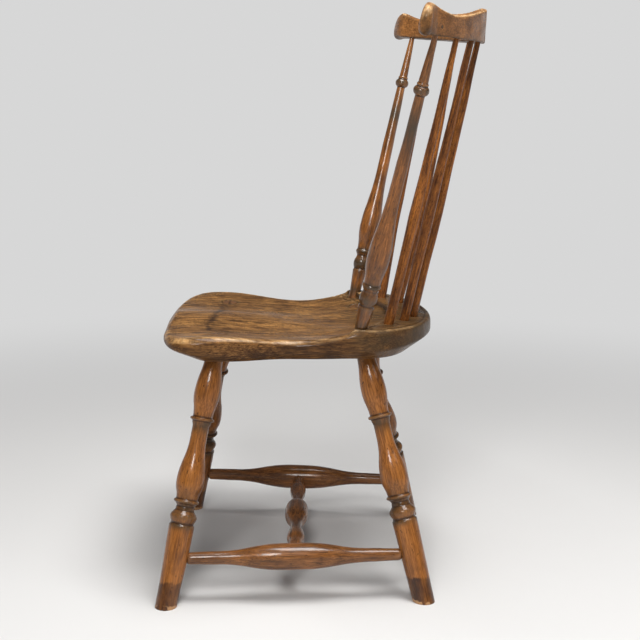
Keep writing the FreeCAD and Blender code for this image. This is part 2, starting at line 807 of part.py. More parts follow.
def make_spindle(number):
    foot, head = spindle_ends(number)
    run = distance(foot, head)
    return turn(new_body(f"spindle_{number}", aim(foot, head)), [
        ("start", "-spindle_tenon_depth", "spindle_foot_radius"),
        ("line", "0", "spindle_foot_radius"),
        ("line", f"{run}*spindle_swell_share", "spindle_swell_radius"),
        ("line", f"{run}-spindle_head_depth/2-spindle_shoulder", "spindle_neck_radius"),
        ("line", f"{run}-spindle_head_depth/2", "spindle_head_radius"),
        ("line", f"{run}+spindle_head_depth/2", "spindle_head_radius"),
    ])


def back_sockets(target):
    """Sockets for posts and spindles, in the seat or in the crest."""
    tools = []
    for side, hand in ((LEFT, "left"), (RIGHT, "right")):
        foot, head = post_ends(side)
        run = distance(foot, head)
        if target == "seat":
            limits = ("-post_tenon_depth-socket_clearance", "socket_overrun")
            radius = "post_tenon_radius+socket_clearance"
        else:
            limits = (f"{run}-post_head_depth", f"{run}+post_head_depth/2+socket_clearance")
            radius = "post_head_radius+socket_clearance"
        tools.append(round_tool(f"{target}_post_socket_{hand}", aim(foot, head),
                                limits[0], radius, limits[1], radius))
    for number in range(1, SPINDLE_COUNT + 1):
        foot, head = spindle_ends(number)
        run = distance(foot, head)
        if target == "seat":
            limits = ("-spindle_tenon_depth-socket_clearance", "socket_overrun")
            radius = "spindle_foot_radius+socket_clearance"
        else:
            limits = (f"{run}-spindle_head_depth", f"{run}+spindle_head_depth/2+socket_clearance")
            radius = "spindle_head_radius+socket_clearance"
        tools.append(round_tool(f"{target}_spindle_socket_{number}", aim(foot, head),
                                limits[0], radius, limits[1], radius))
    return tools


def peg_tool(name, side, spread):
    """Pin square to the crest's curved face, through the post's tenon."""
    across = f"{side}*post_head_x"
    behind = f"(-{CREST_BEND}*post_head_x^2)"
    above = "(peg_height-crest_arch_rise*(post_head_x/crest_arch_half)^2)"
    facing = f"atan(-2*{CREST_BEND}*{across})"
    frame = (f"{CREST_FRAME}*placement(vector({across};{behind};{above});rotation({facing};0;0))"
             "*placement(vector(0;0;0);rotation(0;0;-90))")
    radius = f"peg_radius+{spread}"
    return round_tool(name, frame, f"-(crest_front_thickness-peg_blind_end+{spread})", radius,
                      "2*crest_rear_thickness", radius)


def crest_plan_side(thickness, sign):
    """One face of the board in plan, centre to right end: parabola, then a flatter ear."""
    at_centre = f"({sign}*({thickness}))"
    at_tip = f"({sign}*(({thickness})-crest_end_thinning))"
    flare = "crest_flare_place"
    drop = "crest_bow"
    slope = f"2*crest_bow/{flare}"
    lead = f"(crest_half_length-{flare})"
    start = f"crest_flare_ease*{lead}"
    end = f"crest_tip_ease*{lead}"
    return [
        [("0", at_centre), (f"{flare}/3", at_centre), (f"2*{flare}/3", f"{at_centre}-{drop}/3"),
         (flare, f"{at_centre}-{drop}")],
        [(flare, f"{at_centre}-{drop}"), (f"{flare}+{start}", f"{at_centre}-{drop}-{slope}*{start}"),
         (f"crest_half_length-{end}", f"{at_tip}-crest_end_setback+crest_end_slope*{end}"),
         ("crest_half_length", f"{at_tip}-crest_end_setback")],
    ]


def crest_board():
    """Bent board, thinner towards its top, lofted between its plan at two heights."""
    board = new_body("crest_board", CREST_FRAME)
    taper = "(crest_rear_thickness-crest_top_rear_thickness)/crest_centre_height"
    sections = []
    for level, height in (("low", "-crest_root_depth"), ("high", "crest_blank_height")):
        plan = new_sketch(board, f"crest_plan_{level}", "XY_Plane", height)
        rear = crest_plan_side(f"crest_rear_thickness-{taper}*({height})", 1)
        front = crest_plan_side("crest_front_thickness", -1)
        right_end = [[rear[-1][-1], front[-1][-1]]]
        left_end = [[mirror(front)[-1][-1], mirror(rear)[-1][-1]]]
        draw_loop(plan, rear + right_end + back_to_front(front)
                  + mirror(front) + left_end + back_to_front(mirror(rear)))
        sections.append(plan)
    loft = board.newObject("PartDesign::AdditiveLoft", "crest_board_sides")
    loft.Profile = sections[0]
    loft.Sections = sections[1:]
    loft.Ruled = True
    return board


def crest_face():
    """Serpentine outline seen square to the raked back."""
    face = new_body("crest_face", CREST_FRAME)
    outline = new_sketch(face, "crest_outline", "XZ_Plane")
    top = [
        [("0", "crest_centre_height"), ("crest_centre_fullness", "crest_centre_height"),
         ("crest_dip_place-crest_dip_fullness", "crest_dip_height"),
         ("crest_dip_place", "crest_dip_height")],
        [("crest_dip_place", "crest_dip_height"),
         ("crest_dip_place+crest_ear_fullness", "crest_dip_height"),
         ("crest_ear_place-crest_ear_fullness", "crest_ear_height"),
         ("crest_ear_place", "crest_ear_height")],
        [("crest_ear_place", "crest_ear_height"),
         ("crest_ear_place+crest_ear_fullness", "crest_ear_height"),
         ("crest_half_length", "crest_nose_height+crest_nose_fullness"),
         ("crest_half_length", "crest_nose_height")],
        [("crest_half_length", "crest_nose_height"),
         ("crest_half_length", "(crest_nose_height-crest_arch_rise)/2"),
         ("(crest_arch_half+crest_half_length)/2", "-crest_arch_rise"),
         ("crest_arch_half", "-crest_arch_rise")],
    ]
    under = [[("crest_arch_half", "-crest_arch_rise"), ("crest_arch_half/3", "crest_arch_rise/3"),
              ("-crest_arch_half/3", "crest_arch_rise/3"), ("-crest_arch_half", "-crest_arch_rise")]]
    draw_loop(outline, top + under + back_to_front(mirror(top)))
    pad = face.newObject("PartDesign::Pad", "crest_face_depth")
    pad.Profile = outline
    pad.SideType = "Symmetric"
    bind(pad, "Length", "4*crest_end_setback")
    return face


# Assembly

pieces = []
carving = top_carving()
floor = doc.addObject("Part::Box", "floor_under_feet")
bind(floor, "Length", "floor_extent")
bind(floor, "Width", "floor_extent")
bind(floor, "Height", "leg_foot_spare+socket_overrun")
bind(floor, "Placement", "placement(vector(-floor_extent/2;-floor_extent/2;-leg_foot_spare-socket_overrun);"
     "rotation(0;0;0))")

seat_sockets = [leg_socket(pair, side) for pair in ("front", "rear") for side in (LEFT, RIGHT)]
pieces.append(cut("seat", seat_blank(), [carving] + seat_sockets + back_sockets("seat")))

for pair in ("front", "rear"):
    for side in (LEFT, RIGHT):
        pieces.extend(make_leg(pair, side, carving, floor))

for side in (LEFT, RIGHT):
    pieces.append(make_side_stretcher(side))
pieces.append(make_medial_stretcher())

for side in (LEFT, RIGHT):
    pieces.append(make_post(side))
for number in range(1, SPINDLE_COUNT + 1):
    pieces.append(make_spindle(number))

crest_blank = common("crest_blank", crest_board(), crest_face())
peg_holes = []
for side, hand in ((LEFT, "left"), (RIGHT, "right")):
    peg_holes.append(peg_tool(f"crest_peg_hole_{hand}", side, "socket_clearance"))
    pin = peg_tool(f"crest_pin_{hand}", side, "0")
    pieces.append(common(f"crest_peg_{hand}", pin, crest_blank))
pieces.append(cut("crest_rail", crest_blank, back_sockets("crest") + peg_holes))

doc.recompute()

for item in doc.Objects:
    if "Invalid" in item.State or "Error" in item.State:
        raise RuntimeError(f"{item.Name} did not rebuild: {item.State}")
for piece in pieces:
    if piece.Shape.isNull() or not piece.Shape.isValid():
        raise RuntimeError(f"{piece.Label} has no valid shape")
    if len(piece.Shape.Solids) != 1:
        raise RuntimeError(f"{piece.Label} has {len(piece.Shape.Solids)} solids")

os.makedirs("parts", exist_ok=True)
for piece in pieces:
    piece.Shape.exportStep(f"parts/{piece.Label}.step")
    print(piece.Label, round(piece.Shape.Volume / 1000, 2), "cm3")
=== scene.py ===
import math

import bpy
import numpy as np
from mathutils import Matrix, Vector
from mathutils.bvhtree import BVHTree
from mathutils.kdtree import KDTree


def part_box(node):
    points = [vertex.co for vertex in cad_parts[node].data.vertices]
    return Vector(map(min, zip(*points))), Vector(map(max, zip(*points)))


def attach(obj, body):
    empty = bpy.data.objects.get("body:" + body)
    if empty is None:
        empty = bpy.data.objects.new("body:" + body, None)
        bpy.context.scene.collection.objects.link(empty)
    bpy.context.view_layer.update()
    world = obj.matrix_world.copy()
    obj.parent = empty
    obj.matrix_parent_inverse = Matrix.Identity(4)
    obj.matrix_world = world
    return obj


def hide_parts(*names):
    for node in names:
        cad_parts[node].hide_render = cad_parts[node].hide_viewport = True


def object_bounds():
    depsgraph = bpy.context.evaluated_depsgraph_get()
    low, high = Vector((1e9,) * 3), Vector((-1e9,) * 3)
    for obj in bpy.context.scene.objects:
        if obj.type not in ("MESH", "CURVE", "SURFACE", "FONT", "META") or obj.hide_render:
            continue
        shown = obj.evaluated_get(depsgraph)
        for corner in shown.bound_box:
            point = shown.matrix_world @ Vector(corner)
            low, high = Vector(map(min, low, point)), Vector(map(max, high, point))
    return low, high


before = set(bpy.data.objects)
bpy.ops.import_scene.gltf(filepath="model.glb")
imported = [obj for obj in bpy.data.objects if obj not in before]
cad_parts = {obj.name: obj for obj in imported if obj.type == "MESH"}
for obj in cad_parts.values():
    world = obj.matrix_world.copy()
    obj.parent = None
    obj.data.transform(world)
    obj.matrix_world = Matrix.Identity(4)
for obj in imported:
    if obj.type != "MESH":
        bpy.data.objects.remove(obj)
cad_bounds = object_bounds()

# Metres, in the chair's own frame: X to the sitter's left, Y to the rear, Z up, floor at Z = 0.

# Camera of the photograph, beside the sitter's left arm
CAMERA_PLACE = Vector((2.370, -0.0075, 0.862))
CAMERA_PITCH = math.radians(10.681)
CAMERA_YAW = math.radians(-0.126)
CAMERA_ROLL = math.radians(0.457)
CAMERA_LENS = 80.03
CAMERA_SENSOR = 36.0

# Size of the even mesh that each piece is worn down from
COARSER = 1.0
SEAT_GRID = 0.0020 * COARSER
CREST_GRID = 0.0015 * COARSER
TURNED_GRID = 0.0013 * COARSER

# How far an edge counts as bare or a hollow as dirty, as a rise over the smoothed surface;
# the darkening of the hollows is partly painted shade
FULL_WEAR = 0.00045
FULL_DIRT_AND_SHADE = 0.00035

# Places in the frame that the worn shapes are measured from
SEAT_UNDERSIDE = 0.386
POST_TENON = 0.038
CREST_REAR = 0.251
CREST_HEIGHT = 0.8785
CREST_RAKE = 12.5

# Flank of the seat that is rubbed round: across, up and rearward, each where it starts and is full
FLANK_ACROSS = (0.140, 0.172)
FLANK_HEIGHTS = (0.393, 0.402)
FLANK_FRONT = (-0.250, -0.215)
FLANK_REAR_END = 0.070

# Top corner of the flank: how far it is brought down, its slope, and the move in X and Z per unit over it
RIM_ROLL = 0.0085
ROLL_SLOPE = 0.93
ROLL_MOVE_ACROSS = 0.50
ROLL_MOVE_DOWN = 0.53

# Groove along the deck's outer edge
GROOVE_INSET = 0.0075
GROOVE_WIDTH = 0.0016
GROOVE_DEPTH = 0.0011

# Low places in the top of the crest: distance from the middle, reach and depth
CREST_DIPS = ((0.270, 0.020, 0.0010), (0.065, 0.040, 0.0022))

# Ears of the crest: where they start and are full, and how much they swell before they are rubbed
EAR_ACROSS = (0.282, 0.315)
EAR_SWELL = 0.0014
EAR_TIP_SWELL = 0.0045

# Turned pieces: how far out of round, and passes that soften their edges
OUT_OF_ROUND = 0.00035
TURNED_PASSES = 3

GLOSS = 0.33
# Dark olive patina; the same colour also paints shade under the crest.
PATINA_AND_SHADE = (0.050, 0.033, 0.017)
PALE_FLOOR = (0.68, 0.67, 0.655)
BACKGROUND = (0.68, 0.68, 0.68)
CEILING = (0.10, 0.10, 0.105)


# Mesh helpers

def coordinates(mesh):
    points = np.empty(len(mesh.vertices) * 3)
    mesh.vertices.foreach_get("co", points)
    return points.reshape(-1, 3)


def move_to(mesh, points):
    mesh.vertices.foreach_set("co", points.ravel())
    mesh.update()


def normals(mesh):
    directions = np.empty(len(mesh.vertices) * 3)
    mesh.vertices.foreach_get("normal", directions)
    return directions.reshape(-1, 3)


def links(mesh):
    """Both directions of every edge, and how many neighbours each vertex has."""
    pairs = np.empty(len(mesh.edges) * 2, dtype=np.int64)
    mesh.edges.foreach_get("vertices", pairs)
    pairs = pairs.reshape(-1, 2)
    start = np.concatenate([pairs[:, 0], pairs[:, 1]])
    end = np.concatenate([pairs[:, 1], pairs[:, 0]])
    count = np.bincount(start, minlength=len(mesh.vertices))
    return start, end, np.maximum(count, 1)


def pulled(values, neighbours, share):
    """Each row moved by a share of the way to the mean of its neighbours."""
    start, end, count = neighbours
    columns = []
    for column in values.reshape(len(count), -1).T:
        mean = np.bincount(start, weights=column[end], minlength=len(count)) / count
        columns.append(column + share * (mean - column))
    return np.stack(columns, axis=1).reshape(values.shape)


def relaxed(points, neighbours, passes):
    """Evened out without shrinking."""
    for _ in range(passes):
        points = pulled(points, neighbours, 0.5)
        points = pulled(points, neighbours, -0.53)
    return points


def rubbed(points, neighbours, passes, share):
    """Edges rounded over, as by years of hands; share is 0 where nothing may move."""
    worn = points
    for _ in range(passes):
        worn = pulled(worn, neighbours, 0.5)
    return points + (worn - points) * share


def smoothstep(values, low, high):
    t = np.clip((values - low) / (high - low), 0.0, 1.0)
    return t * t * (3.0 - 2.0 * t)


def ripple(points, length, seed, waves=14):
    """Soft random swell between about -1 and 1, with the given wavelength."""
    random = np.random.default_rng(seed)
    heading = random.normal(size=(waves, 3))
    heading /= np.linalg.norm(heading, axis=1, keepdims=True)
    pitch = 2.0 * math.pi / (length * random.uniform(0.7, 1.6, waves))
    phase = random.uniform(0.0, 2.0 * math.pi, waves)
    swell = np.sin(points @ (heading * pitch[:, None]).T + phase).sum(axis=1)
    return swell / math.sqrt(waves)


def even_mesh(node, grid):
    """Copy of a piece's surface on a grid of even faces."""
    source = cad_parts[node]
    piece = bpy.data.objects.new(node + "_worn", source.data.copy())
    bpy.context.scene.collection.objects.link(piece)
    remesh = piece.modifiers.new("even", "REMESH")
    remesh.mode = "VOXEL"
    remesh.voxel_size = grid
    wrap = piece.modifiers.new("snug", "SHRINKWRAP")
    wrap.wrap_method = "NEAREST_SURFACEPOINT"
    wrap.target = source
    graph = bpy.context.evaluated_depsgraph_get()
    mesh = bpy.data.meshes.new_from_object(piece.evaluated_get(graph))
    piece.modifiers.clear()
    piece.data = mesh
    piece.data.name = piece.name
    mesh.polygons.foreach_set("use_smooth", np.ones(len(mesh.polygons), dtype=bool))
    return piece


def store(mesh, name, values):
    kind = "FLOAT_VECTOR" if values.ndim == 2 else "FLOAT"
    field = "vector" if values.ndim == 2 else "value"
    attribute = mesh.attributes.new(name, kind, "POINT")
    attribute.data.foreach_set(field, values.astype(np.float32).ravel())


def gap_to(points, nodes, reach):
    """Distance from each point to the nearest surface of the named pieces, at most reach."""
    gaps = np.full(len(points), reach)
    for node in nodes:
        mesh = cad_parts[node].data
        tree = BVHTree.FromPolygons([vertex.co for vertex in mesh.vertices],
                                    [polygon.vertices for polygon in mesh.polygons])
        low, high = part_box(node)
        inside = np.all((points > np.array(low) - reach) & (points < np.array(high) + reach), axis=1)
        for index in np.nonzero(inside)[0]:
            found = tree.find_nearest(Vector(points[index]), gaps[index])
            if found[3] is not None:
                gaps[index] = found[3]
    return gaps


def long_axis(points):
    """Middle and direction of a long piece, pointing up or to the rear."""
    middle = points.mean(axis=0)
    spread = np.linalg.svd((points - middle)[::7], full_matrices=False)[2][0]
    if spread[2] + 0.5 * spread[1] < 0:
        spread = -spread
    return middle, spread


def grain_space(points, middle, along, shift):
    """Places measured across and along the grain; the last one runs along it."""
    helper = np.array([1.0, 0.0, 0.0]) if abs(along[0]) < 0.9 else np.array([0.0, 0.0, 1.0])
    across = np.cross(along, helper)
    across /= np.linalg.norm(across)
    third = np.cross(along, across)
    base = np.stack([across, third, along], axis=1)
    return (points - middle) @ base + shift


def paint_relief(mesh, points, neighbours, passes, exposed=1.0, worn=0.0):
    """Bare edges and dirty hollows, from how far the surface stands off its own smoothed copy; the
    hollows are darkened partly as painted shade, and some bare edges are painted highlights.

    exposed is 0 where nothing rubs the edges; worn adds places painted bare in any case, which on the
    seat is the painted highlight along its rim.
    """
    smooth = points
    for _ in range(passes):
        smooth = pulled(smooth, neighbours, 0.5)
    rise = ((points - smooth) * normals(mesh)).sum(axis=1)
    rise = pulled(rise - np.median(rise), neighbours, 0.5)
    store(mesh, "wear_and_highlight", np.maximum(np.clip(rise / FULL_WEAR, 0.0, 1.0) * exposed, worn))
    store(mesh, "dirt_and_shade", np.clip(-rise / FULL_DIRT_AND_SHADE, 0.0, 1.0))


def finish_piece(piece, node, material):
    piece.data.materials.clear()
    piece.data.materials.append(material)
    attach(piece, "root")
    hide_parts(node)


# Node helpers for the materials

def add(tree, kind, **settings):
    item = tree.nodes.new(kind)
    for name, value in settings.items():
        setattr(item, name, value)
    return item


def feed(tree, socket, source):
    if isinstance(source, bpy.types.NodeSocket):
        tree.links.new(source, socket)
    else:
        socket.default_value = source


def stretched(tree, place, across, along):
    scale = add(tree, "ShaderNodeVectorMath", operation="MULTIPLY")
    feed(tree, scale.inputs[0], place)
    feed(tree, scale.inputs[1], (across, across, along))
    return scale.outputs[0]


def cloud(tree, place, scale, detail=3.0, roughness=0.55, distortion=0.0):
    noise = add(tree, "ShaderNodeTexNoise")
    feed(tree, noise.inputs["Vector"], place)
    feed(tree, noise.inputs["Scale"], scale)
    feed(tree, noise.inputs["Detail"], detail)
    feed(tree, noise.inputs["Roughness"], roughness)
    feed(tree, noise.inputs["Distortion"], distortion)
    return noise.outputs["Fac"]


def between(tree, source, low, high, start=0.0, end=1.0):
    """Soft step of a value from low to high, given out as start to end."""
    step = add(tree, "ShaderNodeMapRange", interpolation_type="SMOOTHSTEP")
    feed(tree, step.inputs["Value"], source)
    feed(tree, step.inputs["From Min"], low)
    feed(tree, step.inputs["From Max"], high)
    feed(tree, step.inputs["To Min"], start)
    feed(tree, step.inputs["To Max"], end)
    return step.outputs["Result"]


def maths(tree, operation, first, second):
    item = add(tree, "ShaderNodeMath", operation=operation)
    feed(tree, item.inputs[0], first)
    feed(tree, item.inputs[1], second)
    return item.outputs[0]


def blend(tree, share, first, second):
    mix = add(tree, "ShaderNodeMix", data_type="RGBA", blend_type="MIX")
    feed(tree, mix.inputs[0], share)
    feed(tree, mix.inputs[6], first)
    feed(tree, mix.inputs[7], second)
    return mix.outputs[2]


def stored(tree, name, output="Fac"):
    return add(tree, "ShaderNodeAttribute", attribute_name=name).outputs[output]


def height(tree):
    split = add(tree, "ShaderNodeSeparateXYZ")
    feed(tree, split.inputs[0], add(tree, "ShaderNodeTexCoord").outputs["Object"])
    return split.outputs["Z"]


def colour(red, green, blue):
    return (red, green, blue, 1.0)


def old_wood(name, deep, body, glow, bare_and_highlight, streak_scale=380.0, fine_scale=950.0,
             pore_share=0.6, blotch_share=0.6, bare_and_highlight_share=0.7, specular=0.16, coat=0.22,
             unworn=False, extra=None):
    """Stained, shellacked and worn wood; the grain runs along the last axis of its place. Some bare edges
    are painted highlights, and some dark in hollows and under the crest is painted shade.

    An unworn piece has no stored grain, wear and highlight, patina and shade, or dirt and shade, so its
    grain follows its own axes.
    """
    material = bpy.data.materials.new(name)
    material.use_nodes = True
    tree = material.node_tree
    shader = tree.nodes["Principled BSDF"]
    if unworn:
        place = add(tree, "ShaderNodeTexCoord").outputs["Object"]
    else:
        place = stored(tree, "grain", "Vector")

    fine = cloud(tree, stretched(tree, place, 1.0, 0.04), fine_scale, 3.0, 0.65)
    streaks = cloud(tree, stretched(tree, place, 1.0, 0.05), streak_scale, 3.0, 0.6, 0.3)
    broad = cloud(tree, stretched(tree, place, 1.0, 0.22), 52.0, 4.0, 0.6, 0.3)
    blotches = cloud(tree, stretched(tree, place, 1.0, 0.5), 34.0, 5.0, 0.68)
    pores = cloud(tree, stretched(tree, place, 1.0, 0.10), 1.5 * fine_scale, 2.0, 0.5)
    specks = cloud(tree, stretched(tree, place, 1.0, 0.4), 300.0, 3.0, 0.55)

    figure = maths(tree, "ADD", maths(tree, "MULTIPLY", streaks, 0.40),
                   maths(tree, "ADD", maths(tree, "MULTIPLY", fine, 0.30),
                         maths(tree, "MULTIPLY", broad, 0.30)))
    tone = blend(tree, between(tree, figure, 0.40, 0.51), colour(*deep), colour(*body))
    tone = blend(tree, between(tree, figure, 0.49, 0.61), tone, colour(*glow))
    tone = blend(tree, maths(tree, "MULTIPLY", between(tree, blotches, 0.48, 0.66), blotch_share),
                 tone, colour(*deep))
    tone = blend(tree, maths(tree, "MULTIPLY", between(tree, pores, 0.56, 0.64), pore_share),
                 tone, colour(*[0.55 * part for part in deep]))
    tone = blend(tree, between(tree, specks, 0.64, 0.70, 0.0, 0.8), tone,
                 colour(*[0.35 * part for part in deep]))

    if not unworn:
        # Pale bare wood on worn edges; along the seat's rim and the crest's top edge this pale is also a
        # painted highlight.
        pale_patches = between(tree, cloud(tree, stretched(tree, place, 1.0, 0.3), 70.0, 4.0, 0.65),
                          0.36, 0.60)
        bare_and_highlight_here = maths(tree, "MULTIPLY", maths(tree, "MULTIPLY", stored(tree, "wear_and_highlight"), pale_patches),
                          bare_and_highlight_share)
        tone = blend(tree, bare_and_highlight_here, tone, colour(*bare_and_highlight))
        # Dark olive patina in turnings and joints; under the crest the same dark is painted shade.
        patchiness = between(tree, cloud(tree, stretched(tree, place, 1.0, 0.5), 55.0, 4.0, 0.65),
                          0.30, 0.62, 0.45, 0.95)
        tone = blend(tree, maths(tree, "MULTIPLY", stored(tree, "patina_and_shade"), patchiness), tone,
                     colour(*PATINA_AND_SHADE))
        # Hollows darkened nearly black: partly dirt, partly painted shade.
        dirt_and_shade = between(tree, stored(tree, "dirt_and_shade"), 0.20, 1.0, 0.0, 0.75)
        tone = blend(tree, dirt_and_shade, tone, colour(*[0.25 * part for part in deep]))
    if extra:
        tone = extra(tree, place, tone)
    feed(tree, shader.inputs["Base Color"], tone)

    sheen = between(tree, cloud(tree, stretched(tree, place, 1.0, 0.35), 38.0), 0.35, 0.65,
                    GLOSS - 0.08, GLOSS + 0.12)
    grit = between(tree, fine, 0.3, 0.7, 0.05, -0.03)
    feed(tree, shader.inputs["Roughness"], maths(tree, "ADD", sheen, grit))
    shader.inputs["Specular IOR Level"].default_value = specular
    shader.inputs["Coat Weight"].default_value = coat
    shader.inputs["Coat Roughness"].default_value = 0.13

    dents = cloud(tree, place, 85.0, 3.0, 0.55)
    surface = maths(tree, "ADD", maths(tree, "MULTIPLY", fine, 0.30),
                    maths(tree, "MULTIPLY", dents, 0.75))
    surface = maths(tree, "ADD", surface, maths(tree, "MULTIPLY", pores, -0.10))
    bump = add(tree, "ShaderNodeBump")
    bump.inputs["Strength"].default_value = 0.6
    bump.inputs["Distance"].default_value = 0.0012
    feed(tree, bump.inputs["Height"], surface)
    feed(tree, shader.inputs["Normal"], bump.outputs[0])
    return material


# Materials

def stained_feet(tree, place, tone):
    """The lowest few centimetres of each leg are almost black, chipped pale at the floor."""
    ragged = maths(tree, "MULTIPLY", cloud(tree, stretched(tree, place, 1.0, 0.3), 90.0), 0.016)
    level = maths(tree, "ADD", height(tree), ragged)
    patchy = between(tree, cloud(tree, stretched(tree, place, 1.0, 0.3), 60.0, 4.0, 0.65),
                     0.32, 0.68, 0.92, 0.40)
    share = maths(tree, "MULTIPLY", between(tree, level, 0.046, 0.051, 1.0, 0.0), patchy)
    tone = blend(tree, share, tone, colour(0.030, 0.013, 0.008))
    chips = between(tree, cloud(tree, place, 55.0, 2.0, 0.5), 0.50, 0.54)
    low = between(tree, maths(tree, "ADD", height(tree), ragged), 0.012, 0.015, 0.85, 0.0)
    return blend(tree, maths(tree, "MULTIPLY", chips, low), tone, colour(0.46, 0.25, 0.11))


def tenon_tops(tree, place, tone):
    """The stained feet, and the tenon's end, which the seat has darkened and worn alike."""
    tone = stained_feet(tree, place, tone)
    grime = between(tree, cloud(tree, place, 220.0, 3.0, 0.6), 0.35, 0.65, 0.7, 1.0)
    share = maths(tree, "MULTIPLY", between(tree, height(tree), 0.398, 0.400), grime)
    return blend(tree, share, tone, colour(0.105, 0.050, 0.020))


def sat_smooth(tree, place, tone):
    """Golden wood shows through where the seat is sat on; cross marks darken its front."""
    patches = between(tree, cloud(tree, stretched(tree, place, 1.0, 0.16), 150.0, 5.0, 0.7),
                      0.42, 0.58)
    fine = between(tree, cloud(tree, stretched(tree, place, 1.0, 0.05), 800.0, 3.0, 0.65),
                   0.38, 0.58, 0.1, 1.0)
    share = maths(tree, "MULTIPLY", maths(tree, "MULTIPLY", stored(tree, "polish"), patches), fine)
    tone = blend(tree, maths(tree, "MULTIPLY", share, 0.95), tone, colour(0.45, 0.225, 0.068))
    ticks = between(tree, cloud(tree, stretched(tree, place, 0.25, 1.0), 480.0, 2.0, 0.5), 0.50, 0.60)
    rubbed_here = maths(tree, "MULTIPLY", stored(tree, "polish"), ticks)
    tone = blend(tree, maths(tree, "MULTIPLY", rubbed_here, 0.5), tone, colour(0.045, 0.023, 0.010))
    return blend(tree, maths(tree, "MULTIPLY", stored(tree, "stain"), 0.85), tone,
                 colour(0.022, 0.012, 0.008))


# The seat's bare colour is also its painted rim highlight.
seat_wood = old_wood(
    "seat_wood", deep=(0.036, 0.016, 0.007), body=(0.112, 0.050, 0.017), glow=(0.24, 0.112, 0.034),
    bare_and_highlight=(0.58, 0.36, 0.165), streak_scale=520.0, blotch_share=0.75, bare_and_highlight_share=0.9, specular=0.06,
    coat=0.18,
    extra=sat_smooth)
turned_wood = old_wood(
    "turned_wood", deep=(0.125, 0.043, 0.011), body=(0.27, 0.096, 0.020), glow=(0.40, 0.150, 0.031),
    bare_and_highlight=(0.44, 0.23, 0.085), pore_share=0.20, blotch_share=0.45, bare_and_highlight_share=0.35, specular=0.12,
    coat=0.50, extra=tenon_tops)
post_wood = old_wood(
    "post_wood", deep=(0.078, 0.029, 0.009), body=(0.19, 0.068, 0.015), glow=(0.33, 0.118, 0.025),
    bare_and_highlight=(0.40, 0.20, 0.075), pore_share=0.45, bare_and_highlight_share=0.4, coat=0.70)
stretcher_wood = old_wood(
    "stretcher_wood", deep=(0.070, 0.027, 0.009), body=(0.19, 0.072, 0.020), glow=(0.31, 0.122, 0.034),
    bare_and_highlight=(0.32, 0.16, 0.070), pore_share=0.4, bare_and_highlight_share=0.3, coat=0.50)
spindle_wood = old_wood(
    "spindle_wood", deep=(0.060, 0.019, 0.006), body=(0.21, 0.070, 0.015), glow=(0.40, 0.140, 0.027),
    bare_and_highlight=(0.44, 0.21, 0.07), fine_scale=1100.0, pore_share=0.9, blotch_share=0.55, bare_and_highlight_share=0.2,
    specular=0.12, coat=0.12)
# The crest's bare colour is also the painted highlight along its top edge.
crest_wood = old_wood(
    "crest_wood", deep=(0.095, 0.038, 0.013), body=(0.225, 0.094, 0.029), glow=(0.37, 0.158, 0.048),
    bare_and_highlight=(0.62, 0.40, 0.20), pore_share=0.4, blotch_share=0.55, bare_and_highlight_share=0.8, specular=0.06, coat=0.10)
wedge_wood = old_wood(
    "wedge_wood", deep=(0.040, 0.020, 0.010), body=(0.085, 0.041, 0.018), glow=(0.13, 0.063, 0.026),
    bare_and_highlight=(0.2, 0.1, 0.05), unworn=True)
peg_wood = old_wood(
    "peg_wood", deep=(0.040, 0.020, 0.010), body=(0.095, 0.046, 0.022), glow=(0.14, 0.07, 0.035),
    bare_and_highlight=(0.2, 0.1, 0.05), unworn=True)


# Pieces

LEGS = ("front_leg_left", "front_leg_right", "rear_leg_left", "rear_leg_right")
POSTS = ("back_post_left", "back_post_right")
SPINDLES = tuple(f"spindle_{number}" for number in range(1, 8))
SIDE_STRETCHERS = ("side_stretcher_left", "side_stretcher_right")
STRETCHERS = SIDE_STRETCHERS + ("medial_stretcher",)

# How far each spindle bends rearward at its middle, from the sitter's right to the left
SPINDLE_BOWS = (-0.0058, 0.0046, 0.0008, -0.0006, 0.0006, -0.0005, 0.0004)

# Station and change of radius, and station and reach of the patina. Stations run down from the seat's
# underside on a leg, up from the deck on a post, and in from both ends of a stretcher
NO_TRIM = ((0.0, 0.0),)
LEG_TRIM = ((0.2385, 0.0), (0.2420, -0.0008), (0.2460, -0.0024), (0.2500, -0.0046),
            (0.2535, -0.0032), (0.2570, -0.0010), (0.2600, 0.0))
LEG_PATINA = ((0.0, 0.014), (0.113, 0.013), (0.246, 0.022), (0.273, 0.007))
POST_TRIM = ((0.118, 0.0), (0.140, -0.0006), (0.160, -0.0023), (0.183, -0.0030), (0.206, -0.0021),
             (0.230, -0.0009), (0.272, 0.0))
STRETCHER_TRIM = ((0.0, 0.0), (0.024, 0.0), (0.030, 0.0015), (0.070, 0.0014), (0.140, 0.0))
POST_PATINA = ((0.0, 0.012), (0.050, 0.017), (0.074, 0.007), (0.330, 0.030), (0.388, 0.008))


def leg_stations(local, middle, along):
    return (SEAT_UNDERSIDE - middle[2]) / along[2] - local[:, 2]


def post_stations(local, middle, along):
    return local[:, 2] - local[:, 2].min() - POST_TENON


def stretcher_stations(local, middle, along):
    return 0.5 * np.ptp(local[:, 2]) - np.abs(local[:, 2])


def between_stations(stations, table):
    places, values = np.array(table).T
    return np.interp(stations, places, values)


